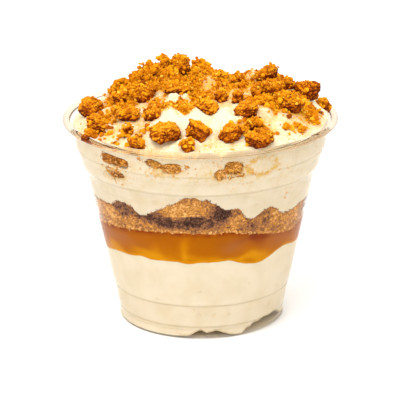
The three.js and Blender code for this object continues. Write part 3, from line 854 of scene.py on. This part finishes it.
topCream = {
    "columns": 560, "wallRows": 66, "topRows": 104, "discRows": 6, "seed": 8,
    "bubbles": 40, "bubbleHeights": (48, 69), "bubbleSizes": (0.4, 0.9), "bubbleDepth": 0.25,
    "bubbleSquash": 0.6, "dragDepth": 0.05, "dragSize": 4,
    # how much golden dust and crumb lies there; less than nothing keeps the cream bare
    "dust": [  # x, y, spread, how much
        (-20, -1, 5.5, 0.9), (-7, -1, 5, 0.8), (-24, 4, 5, 0.8), (-14, 7, 7, 0.9), (-4, 9, 6, 0.8),
        (12, 3.5, 4.5, 0.7), (-9, -18.5, 3.2, 1.1), (-3.5, -19, 3, 0.7), (-14, -17.5, 3, 0.6),
        (21, -13.5, 4, 0.9), (0, -7.5, 3.5, 0.6), (18, -30.5, 3.5, 0.9), (-28, 5, 4, 0.6), (8, 9, 6, 0.6),
        (28, 8, 6, 0.5), (-30, -14, 3, 0.4), (-36, -8, 4, 0.3), (27, -8, 6, 0.6), (-27, -11, 3, 0.4),
        (36, -10, 4, 0.4), (33, -20, 4, 0.25), (-18, -24, 4, 0.3), (-34.5, 8, 3.5, -0.6), (28, -17, 4, 0.3),
        (23, -21, 3, 0.25), (-2, -12, 3, 0.25), (-15.5, -4.5, 2.2, -0.9), (-7, -9, 3, -0.8),
        (-8.5, -27.5, 4, -0.5), (5, -25.5, 5, -0.5), (25, -24, 3.5, -0.5), (42.5, 0.5, 4, -0.4),
        (4, 5, 2.5, -0.5), (-20, 24, 7, 0.5), (8, 28, 7, 0.4), (28, 22, 6, 0.4), (0, 17, 6, 0.5),
        (-32, 18, 5, 0.4), (22, 34, 5, 0.3)],
}


def wallPieceDistance(place, row):
    # From 0 in the middle of a piece against the wall to 1 at its outline and on outwards
    degrees, level, width, depth, tallness, lean, squareness = row
    across = acrossWall(np.degrees(angleOf(place)), degrees, innerRadius(level))
    along, over = tilted(across, place[..., 2] - level, lean)
    along, over = np.abs(along) / (width / 2), np.abs(over) / (tallness / 2)
    return (along ** squareness + over ** squareness) ** (1 / squareness)


def topCreamRelief(wall, angle, part):
    # Bubbles and faint drag marks, and hollows that make room for the biscuit pieces against the wall
    draw = np.random.default_rng(topCream["seed"])
    ranges = [(-180, 180), topCream["bubbleHeights"], topCream["bubbleSizes"]]
    bubbles = [[draw.uniform(*span) for span in ranges] for _ in range(topCream["bubbles"])]
    relief = -topCream["dragDepth"] * (1 + swell(wall * np.array([1, 1, 2.5]), topCream["dragSize"], 91))
    relief = pressBubbles(relief, wall, angle, bubbles, topCream["bubbleDepth"], topCream["bubbleSquash"])
    for row in wallPieces["pieces"]:
        inside = ease((0.92 - wallPieceDistance(wall, row)) / 0.2)
        relief = np.minimum(relief, -wallPieces["creamGivesWay"] * inside)
    return (relief - cup["ribDepth"] * ribShare(wall[..., 2])) * ease((1 - part) / 0.04)


def dustThickness(x, y):
    flat = onPlane(x, y)
    thickness = 0.08 + 0.14 * swell(flat, 5, 95) + 0.1 * swell(flat, 2, 96)
    for centreX, centreY, spread, amount in topCream["dust"]:
        thickness = thickness + amount * bell((x - centreX) ** 2 + (y - centreY) ** 2, spread)
    return thickness


def wallStain(place):
    # Golden dust on the cream behind the plastic: round the pieces, in the listed patches and rings, unevenly
    near = np.min([wallPieceDistance(place, row) * row[4] for row in wallPieces["pieces"]], axis=0)
    stain = wallPieces["stain"] * np.exp(-near / 4)
    stain = stain + patchShare(place, wallPieces["stains"], wallPieces["stainRadius"])
    degrees = np.degrees(angleOf(place))
    for centre, level, width, tallness, amount in wallPieces["stainRings"]:
        ring = np.hypot(turnFrom(degrees, centre) / width, (place[:, 2] - level) / tallness)
        stain += amount * np.exp(-((ring - 1) / 0.3) ** 2)
    return stain * (0.7 + 0.7 * swell(place, 1.6, 97)) - 0.1


def topCreamPiece():
    settings = topCream
    columns = settings["columns"]
    spin = around(columns)[None, :]
    low = layerEdge("biscuitTop", columns, cup["overlap"])
    rings = layerRings(low, (moundEdgeHeight(spin), 0), settings, topCreamRelief)
    wallEnd = settings["discRows"] + settings["wallRows"]
    share = np.linspace(1, 0, settings["topRows"] + 1)[1:-1, None]
    outline = innerRadius(moundEdgeHeight(spin)) + cup["reachIn"]
    x, y = share * outline * np.cos(spin), share * outline * np.sin(spin)
    rings = np.concatenate([rings[:wallEnd], np.stack([x, y, creamTop(x, y)], -1)])
    # the wall's last row takes the mound's own height there
    last = rings[wallEnd - 1]
    last[:, 2] = creamTop(last[:, 0], last[:, 1])
    crown = creamTop(np.zeros(1), np.zeros(1))[0]
    points, quads, fans = closedGrid(rings, [0, 0, low[1]], [0, 0, crown])
    x, y = points[:, 0], points[:, 1]
    uncovered = np.arange(len(points)) >= wallEnd * columns
    # painted shade and dust: yellower cream deep in the creases of the open mound, fading out near its edge
    creases = ease((0.1 - creamFolds(x, y)) / 1.4)
    creaseShadeAndDust = ease(inwardShare(x, y) / 0.15) * np.clip(0.65 * creases + 0.25 * swell(points, 6, 99), 0, 0.85)
    creaseShadeAndDust = np.where(uncovered, creaseShadeAndDust, 0)
    dusted = dustThickness(x, y)
    dusted[:wallEnd * columns] = wallStain(points[:wallEnd * columns])
    makePiece("topCreamSpooned", points, quads, fans, whippedCream, ["top_cream"], {
        # painted shade on the wall part: darker thin lines at the ribs
        "dusted": dusted + 0.22 * creaseShadeAndDust, "paintedShade": np.where(uncovered, 0, 0.24 * ribShare(points[:, 2])),
        # painted light: the open mound top takes the paler cream
        "openPaintedLit": uncovered, "creaseShadeAndDust": creaseShadeAndDust})


topCreamPiece()
print("top cream made")

# Biscuit pieces on the cream and against the wall

pieceTops, pieceSkins = [], []
for index, (x, y, width, depth, tall, turn, lean, squareness) in enumerate(topping["pieces"]):
    seed = topping["seed"] + index
    points, quads, fans, values = biscuitShape((width, depth, tall), squareness, seed)
    centre = np.array([x, y, moundHeight(np.array(x), np.array(y)) + topping["lift"] * tall])
    points = points @ turned(lean, turn).T + centre
    up = upwardness(points, quads, fans)
    dustier = topping["dusted"].get(index, 0.8)
    values["dust"] = dustier * ease((up + 0.1) / 0.9) * (0.8 + 0.5 * swell(points, 3, seed)) + 0.05
    values["grain"] = values["grain"] - topping["darker"].get(index, 0)
    # painted shade and light: undersides darker and tops lighter, carried in the relief value
    values["relief"] = values["relief"] + 0.55 * (np.clip(up, -0.7, 1) - 0.22)
    pieceTops.append(points[up > 0.2])
    pieceSkins.append(points[(up > -0.3) & (points[:, 2] > centre[2] - 0.2 * tall)])
    number = f"{index + 1:02d}"
    nodes = [f"biscuit_{number}"]
    makePiece(f"crumble_{number}", points, quads, fans, bakedBiscuit, nodes, values)


def pressFlat(points, limit):
    # Whatever reaches further out than the limit is brought back to it
    away = np.hypot(points[:, 0], points[:, 1])
    points[:, :2] *= (np.minimum(away, limit) / away)[:, None]


def pressedPiece(row, seed, inset, paler):
    # A piece against the wall: what reaches past the plastic's inner face is pressed flat on it
    degrees, level, width, depth, tall, lean, squareness = row
    points, quads, fans, values = biscuitShape((width, depth, tall), squareness, seed, wallPieces["fray"])
    radius = innerRadius(level) - inset
    angle = math.radians(degrees)
    centre = np.array([radius * math.cos(angle), radius * math.sin(angle), level])
    points = points @ turned(lean, degrees + 90).T + centre
    raised = ease((values["relief"] + 0.25 * (values["grain"] - 0.5)) / 0.5)
    limit = innerRadius(points[:, 2]) + wallPieces["reachIn"]
    pressFlat(points, limit - wallPieces["pitDepth"] * (1 - raised))
    values["dust"] = 0.3 * values["relief"] + paler
    return points, quads, fans, values


for index, row in enumerate(wallPieces["pieces"]):
    paler = wallPieces["paler"] if index in wallPieces["golden"] else 0
    points, quads, fans, values = pressedPiece(row, topping["seed"] + 50 + index, wallPieces["inset"], paler)
    nodes = [f"wall_biscuit_{index + 1}"]
    makePiece(f"wallCrumble_{index + 1}", points, quads, fans, pressedBiscuit, nodes, values)

# splinters between and beside them, joined in one mesh
splinters, start = [], 0
for index, row in enumerate(wallPieces["splinters"]):
    points, quads, fans, values = pressedPiece(
        row, topping["seed"] + 80 + index, wallPieces["splinterInset"], wallPieces["splinterPaler"])
    splinters.append((points, quads + start, fans + start, values))
    start += len(points)
points, quads, fans = (np.concatenate([part[i] for part in splinters]) for i in range(3))
values = {key: np.concatenate([part[3][key] for part in splinters]) for key in ("relief", "grain", "dust")}
makePiece("wallSplinters", points, quads, fans, pressedBiscuit, attributes=values)
print("biscuit pieces made")

# Crumbs and dust

fieldStep, fieldHalf = 0.4, 47.0


def topField():
    # Height of whatever lies on top, on a square grid over the mound
    line = np.arange(-fieldHalf, fieldHalf + fieldStep, fieldStep)
    field = creamTop(*np.meshgrid(line, line, indexing="ij"))
    for cloud in pieceTops:
        i, j = (np.round((cloud[:, axis] + fieldHalf) / fieldStep).astype(int) for axis in (0, 1))
        inside = (i >= 0) & (i < len(line)) & (j >= 0) & (j < len(line))
        np.maximum.at(field, (i[inside], j[inside]), cloud[inside, 2])
    return field


def onTop(field, places):
    i, j = np.clip(np.round((places.T + fieldHalf) / fieldStep).astype(int), 0, field.shape[0] - 1)
    return field[i, j]


def pebble(rows, columns):
    # Unit ball of few faces
    down = np.linspace(-pi / 2, pi / 2, rows + 2)[1:-1, None]
    spin = around(columns)[None, :] + (np.arange(rows) % 2)[:, None] * pi / columns
    return closedGrid(atAngle(np.cos(down), spin, np.sin(down)), [0, 0, -1], [0, 0, 1])


def scatter(name, centres, sizes, shades, template, material, pressed=False):
    # Copies of a pebble, each stretched, turned and dented in its own way, joined in one mesh
    points, quads, triangles = template
    count = len(centres)
    spins = draw.normal(size=(count, 4))
    w, x, y, z = (spins / np.linalg.norm(spins, axis=1)[:, None]).T
    turns = np.stack([
        1 - 2 * (y * y + z * z), 2 * (x * y - z * w), 2 * (x * z + y * w),
        2 * (x * y + z * w), 1 - 2 * (x * x + z * z), 2 * (y * z - x * w),
        2 * (x * z - y * w), 2 * (y * z + x * w), 1 - 2 * (x * x + y * y)], -1).reshape(-1, 3, 3)
    stretch = draw.uniform(0.65, 1.3, (count, 1, 3))
    dents = draw.uniform(0.6, 1.25, (count, len(points), 1))
    shapes = points[None] * stretch * dents * (sizes / 2)[:, None, None]
    shapes = np.einsum("nij,nkj->nki", turns, shapes) + centres[:, None]
    shapes = shapes.reshape(-1, 3)
    if pressed:
        pressFlat(shapes, innerRadius(shapes[:, 2]) + wallPieces["reachIn"] + wallPieces["grainsFurther"])
    step = (np.arange(count) * len(points))[:, None, None]
    shade = np.repeat(np.clip(shades, 0, 1), len(points)) + draw.uniform(-0.08, 0.08, count * len(points))
    makePiece(name, shapes, (quads[None] + step).reshape(-1, 4), (triangles[None] + step).reshape(-1, 3),
              material, attributes={"shade": shade}, smooth=False)


def drawnSizes(smallest, largest, count, power=2):
    # Most are small
    return smallest + (largest - smallest) * draw.uniform(0, 1, count) ** power


crumbs = {
    # crumbs up to rice size and a little over
    "heaps": [  # x, y, spread, how many, smallest, largest, height of the heap
        (1, 11, 3.4, 110, 0.8, 2.2, 3), (-18, 7, 3.6, 120, 0.8, 2.4, 3), (-26.5, 7, 3, 90, 0.8, 2.2, 3),
        (-10, 2, 3, 60, 0.8, 2.2, 1.5), (-22, -1, 3, 60, 0.8, 2.2, 1), (-24, -10, 5, 30, 0.8, 2.2, 0.3),
        (-13, -17, 2.4, 34, 0.7, 1.9, 1), (-3.5, -19, 2.2, 26, 0.7, 1.8, 0.6),
        (37.5, -9, 1.3, 18, 1.4, 3.2, 0.8), (38, -13.5, 1.2, 16, 1.4, 3.2, 0.8),
        (34.5, -24.5, 1.2, 20, 1.2, 3, 0.8), (29.5, -26, 1, 12, 1.2, 2.8, 0.6),
        (-23, 9, 1.8, 40, 1.4, 3, 4), (-15.5, 9.5, 1.6, 26, 1.4, 2.8, 3), (2, 12, 1.8, 40, 1.4, 3, 3.6),
        (43, 1.5, 1.2, 14, 1.2, 2.4, 1), (12, 4, 2.6, 40, 0.8, 2.2, 1), (42.5, -6, 1.1, 12, 0.9, 1.8, 0.3),
        (18, -30, 2.4, 44, 0.8, 2.0, 1.4), (14, -31.5, 1.6, 14, 0.8, 1.8, 0.5),
        (21, -14, 3.4, 60, 0.8, 2.2, 1.2), (-30, -22, 3, 24, 0.8, 2.0, 0.3),
        (26, -18, 2.6, 30, 0.9, 2.2, 0.8), (0, -7.5, 2.4, 24, 0.8, 1.8, 0.6),
        (-26, -26, 2.4, 24, 0.8, 2.0, 0.6), (-20, -31, 2.2, 22, 0.8, 1.9, 0.6),
        (30, 3, 4, 44, 0.8, 2.2, 0.8), (-31, -14, 3, 24, 0.8, 2.0, 0.4), (-15, 22, 6, 60, 0.8, 2.2, 0.4),
        (6, 26, 6, 50, 0.8, 2.0, 0.3), (25, 20, 5, 40, 0.8, 2.0, 0.3), (10, 38, 6, 30, 0.8, 2.0, 0.3),
        (-28, 26, 5, 34, 0.8, 2.0, 0.3)],
    "strays": 26, "straySize": (0.6, 1.4), "strayReach": 42, "looseReach": 42.5,
    "onPieces": 16, "onPieceSize": (0.7, 1.9), "seed": 3,
    "bed": 8600, "bedSize": (0.5, 1.35), "bedDepth": 0.8, "bedTries": 90000, "bedReach": 42,
    "dust": 8600, "fineSize": (0.26, 0.75), "dustTries": 60000, "reach": 43,
}
field = topField()
draw = np.random.default_rng(crumbs["seed"])
places, sizes, lifts = [], [], []
for x, y, spread, count, smallest, largest, peak in crumbs["heaps"]:
    offset = draw.normal(0, spread, (count, 2))
    places.append(offset + (x, y))
    sizes.append(drawnSizes(smallest, largest, count))
    lifts.append(peak * draw.uniform(0, 1, count) * bell((offset ** 2).sum(1), spread))
places.append(draw.uniform(-crumbs["strayReach"], crumbs["strayReach"], (crumbs["strays"], 2)))
sizes.append(draw.uniform(*crumbs["straySize"], crumbs["strays"]))
lifts.append(np.zeros(crumbs["strays"]))
places, sizes, lifts = np.vstack(places), np.concatenate(sizes), np.concatenate(lifts)
inside = np.hypot(*places.T) < crumbs["looseReach"]
places, sizes, lifts = places[inside], sizes[inside], lifts[inside]
centres = [np.column_stack([places, onTop(field, places) + 0.2 * sizes + lifts])]
sizes = [sizes]
for skin in pieceSkins:
    # crumbs that cling to the pieces
    centres.append(skin[draw.integers(0, len(skin), crumbs["onPieces"])])
    sizes.append(drawnSizes(*crumbs["onPieceSize"], crumbs["onPieces"]))
centres, sizes = np.vstack(centres), np.concatenate(sizes)
shades = draw.normal(0.5, 0.2, len(sizes))
scatter("looseCrumbs", centres, sizes, shades, pebble(3, 7), grainMaterial)


def strewn(tries, chanceAt, reach, most):
    # Places over the mound, kept by a chance that grows with the dust there
    places = draw.uniform(-crumbs["reach"], crumbs["reach"], (tries, 2))
    chance = chanceAt(dustThickness(*places.T))
    keep = (draw.uniform(0, 1, tries) < chance) & (np.hypot(*places.T) < reach)
    return places[keep][:most], chance[keep][:most]


# a bed of small crumbs where the crumble was heaped, up to a few crumbs deep
places, deep = strewn(
    crumbs["bedTries"], lambda dust: ease((dust - 0.3) / 0.6), crumbs["bedReach"], crumbs["bed"])
sizes = drawnSizes(*crumbs["bedSize"], len(places), 1.6)
heights = onTop(field, places) + (0.15 + crumbs["bedDepth"] * deep * draw.uniform(0, 1, len(places))) * sizes
centres, shades = np.column_stack([places, heights]), draw.normal(0.58, 0.24, len(sizes))
scatter("crumbBed", centres, sizes, shades, pebble(2, 5), grainMaterial)
print("crumbs in the bed:", len(places))

places = strewn(
    crumbs["dustTries"], lambda dust: np.clip(dust, 0.02, 1) ** 1.4, crumbs["reach"], crumbs["dust"])[0]
sizes = drawnSizes(*crumbs["fineSize"], len(places))
heights = onTop(field, places) + 0.15 * sizes
centres, shades = np.column_stack([places, heights]), draw.normal(0.76, 0.2, len(sizes))
scatter("biscuitDust", centres, sizes, shades, pebble(2, 5), grainMaterial)
print("dust grains:", len(places))

wallCrumbs = {
    "groups": [  # angle, height, spread in degrees, spread in height, how many, smallest, largest
        (-68, 64.5, 2, 2, 22, 0.3, 0.8), (-82, 64.8, 1.4, 1.6, 26, 0.3, 0.8),
        (-76, 62.8, 2.6, 0.7, 22, 0.3, 0.8), (-133, 62.3, 4, 1.6, 50, 0.4, 1.1),
        (-133, 58.6, 3, 1, 14, 0.3, 0.7), (-107, 64.4, 5, 1, 24, 0.3, 0.9),
        (-110, 64, 5, 2.5, 30, 0.3, 0.9), (-98, 66, 4, 1.5, 24, 0.3, 0.9), (-78, 63, 3, 3, 26, 0.3, 1.0),
        (-118, 66, 4, 1.5, 14, 0.3, 0.8), (-42, 52, 1.5, 1.2, 6, 0.5, 1.1), (-48, 60, 5, 4, 14, 0.3, 0.8),
        (145, 62, 8, 3, 40, 0.3, 1.0), (96, 63, 8, 3, 40, 0.3, 1.0), (44, 61, 8, 3, 40, 0.3, 1.0),
        (0, 64, 12, 3, 36, 0.3, 0.9), (-20, 62, 8, 5, 16, 0.3, 0.8)],
    "rings": [  # angle, height, half width in degrees, half height, how many, smallest, largest
        (-61, 65.2, 7.2, 2.9, 90, 0.25, 0.6), (120, 64.5, 7, 2.6, 70, 0.25, 0.6)],
    "between": (44, 69),  # lowest and highest
    "fringe": 520, "seed": 12,
}
draw = np.random.default_rng(wallCrumbs["seed"])
angles, heights, sizes = [], [], []
for degrees, level, spread, tallness, count, smallest, largest in wallCrumbs["groups"]:
    angles.append(np.radians(draw.normal(degrees, spread, count)))
    heights.append(draw.normal(level, tallness, count))
    sizes.append(drawnSizes(smallest, largest, count))
for degrees, level, width, tallness, count, smallest, largest in wallCrumbs["rings"]:
    turn, out = draw.uniform(0, 2 * pi, count), 1 + draw.normal(0, 0.2, count)
    angles.append(np.radians(degrees + width * out * np.cos(turn)))
    heights.append(level + tallness * out * np.sin(turn))
    sizes.append(drawnSizes(smallest, largest, count))
angles, heights, sizes = (np.concatenate(v) for v in (angles, heights, sizes))


def onWall(name, angles, heights, sizes, shades):
    # Grains pressed flat on the plastic
    centres = atAngle(innerRadius(heights) + 0.1 - 0.25 * sizes, angles, heights)
    scatter(name, centres, sizes, shades, pebble(3, 6), soakedCrumb, pressed=True)


heights = np.clip(heights, *wallCrumbs["between"])
onWall("crumbsOnWall", angles, heights, sizes, draw.normal(0.92, 0.12, len(sizes)))

# grains that stray over the biscuit layer's upper edge, and golden ones that rest on the sauce
count = 2 * wallCrumbs["fringe"]
angles = draw.uniform(-pi, pi, count)
above = edgeHeight("biscuitTop", angles) + np.abs(draw.normal(0, 0.3, count)) - 0.25
under = edgeHeight("amberTop", angles) + draw.normal(0.25, 0.35, count)
first = np.arange(count) < count // 2
sizes = np.where(first, draw.uniform(0.3, 0.8, count), draw.uniform(0.4, 1.0, count))
shades = np.where(first, draw.normal(0.4, 0.16, count), draw.normal(0.78, 0.18, count))
onWall("soakedGrains", angles, np.where(first, above, under), sizes, shades)
print("crumbs and dust made")

# Stage, light and camera, in metres

floorHalf = 4.0
floorMesh = bpy.data.meshes.new("paperFloor")
corners = [(floorHalf * x, floorHalf * y, 0) for x, y in ((-1, -1), (1, -1), (1, 1), (-1, 1))]
floorMesh.from_pydata(corners, [], [(0, 1, 2, 3)])
floorMesh.materials.append(whiteSweep)
floorPiece = bpy.data.objects.new("paperFloor", floorMesh)
bpy.context.collection.objects.link(floorPiece)

scene = bpy.context.scene
scene.view_settings.view_transform = "Standard"
world = bpy.data.worlds.new("studio")
world.use_nodes = True
world.node_tree.nodes.clear()
# white all round and brighter overhead, as under a light tent
direction = addNode(world.node_tree, "ShaderNodeTexCoord").outputs["Generated"]
height = addNode(world.node_tree, "ShaderNodeSeparateXYZ", {"Vector": direction}).outputs["Z"]
strength = addNode(world.node_tree, "ShaderNodeMapRange", {
    "Value": height, "From Min": 0.1, "From Max": 1.0, "To Min": 0.84, "To Max": 1.55}).outputs[0]
sky = addNode(world.node_tree, "ShaderNodeBackground", {
    "Color": linearColour("#ffffff"), "Strength": strength})
addNode(world.node_tree, "ShaderNodeOutputWorld", {"Surface": sky.outputs[0]})
scene.world = world

softbox = {"place": (-0.22, -0.5, 0.95), "aimedAt": (0, 0, 0.05), "size": 0.6, "power": 5.0}
lamp = bpy.data.lights.new("softboxKey", "AREA")
lamp.shape, lamp.size, lamp.energy = "DISK", softbox["size"], softbox["power"]
holder = bpy.data.objects.new("softboxKey", lamp)
holder.location = softbox["place"]
aim = np.array(softbox["aimedAt"]) - np.array(softbox["place"])
holder.rotation_euler = (math.acos(-aim[2] / np.linalg.norm(aim)), 0, math.atan2(aim[1], aim[0]) - pi / 2)
bpy.context.collection.objects.link(holder)

view = {
    "distance": 0.9, "elevation": 18.292, "target": 0.040949,
    "lens": 232.26, "sensor": 36.0, "shift": -0.00249, "roll": -0.416,
}
camera = bpy.data.cameras.new("photoCamera")
camera.sensor_width, camera.lens, camera.shift_x = view["sensor"], view["lens"], view["shift"]
cameraPiece = bpy.data.objects.new("photoCamera", camera)
lift = math.radians(view["elevation"])
away, over = view["distance"] * math.cos(lift), view["distance"] * math.sin(lift)
cameraPiece.location = (0, -away, view["target"] + over)
cameraPiece.rotation_mode = "XYZ"
cameraPiece.rotation_euler = (pi / 2 - lift, 0, 0)
bpy.context.collection.objects.link(cameraPiece)
bpy.context.view_layer.update()
turn = cameraPiece.rotation_euler.to_matrix() @ Matrix.Rotation(math.radians(view["roll"]), 3, "Z")
cameraPiece.rotation_euler = turn.to_euler("XYZ")
scene.camera = cameraPiece
print("stage ready")
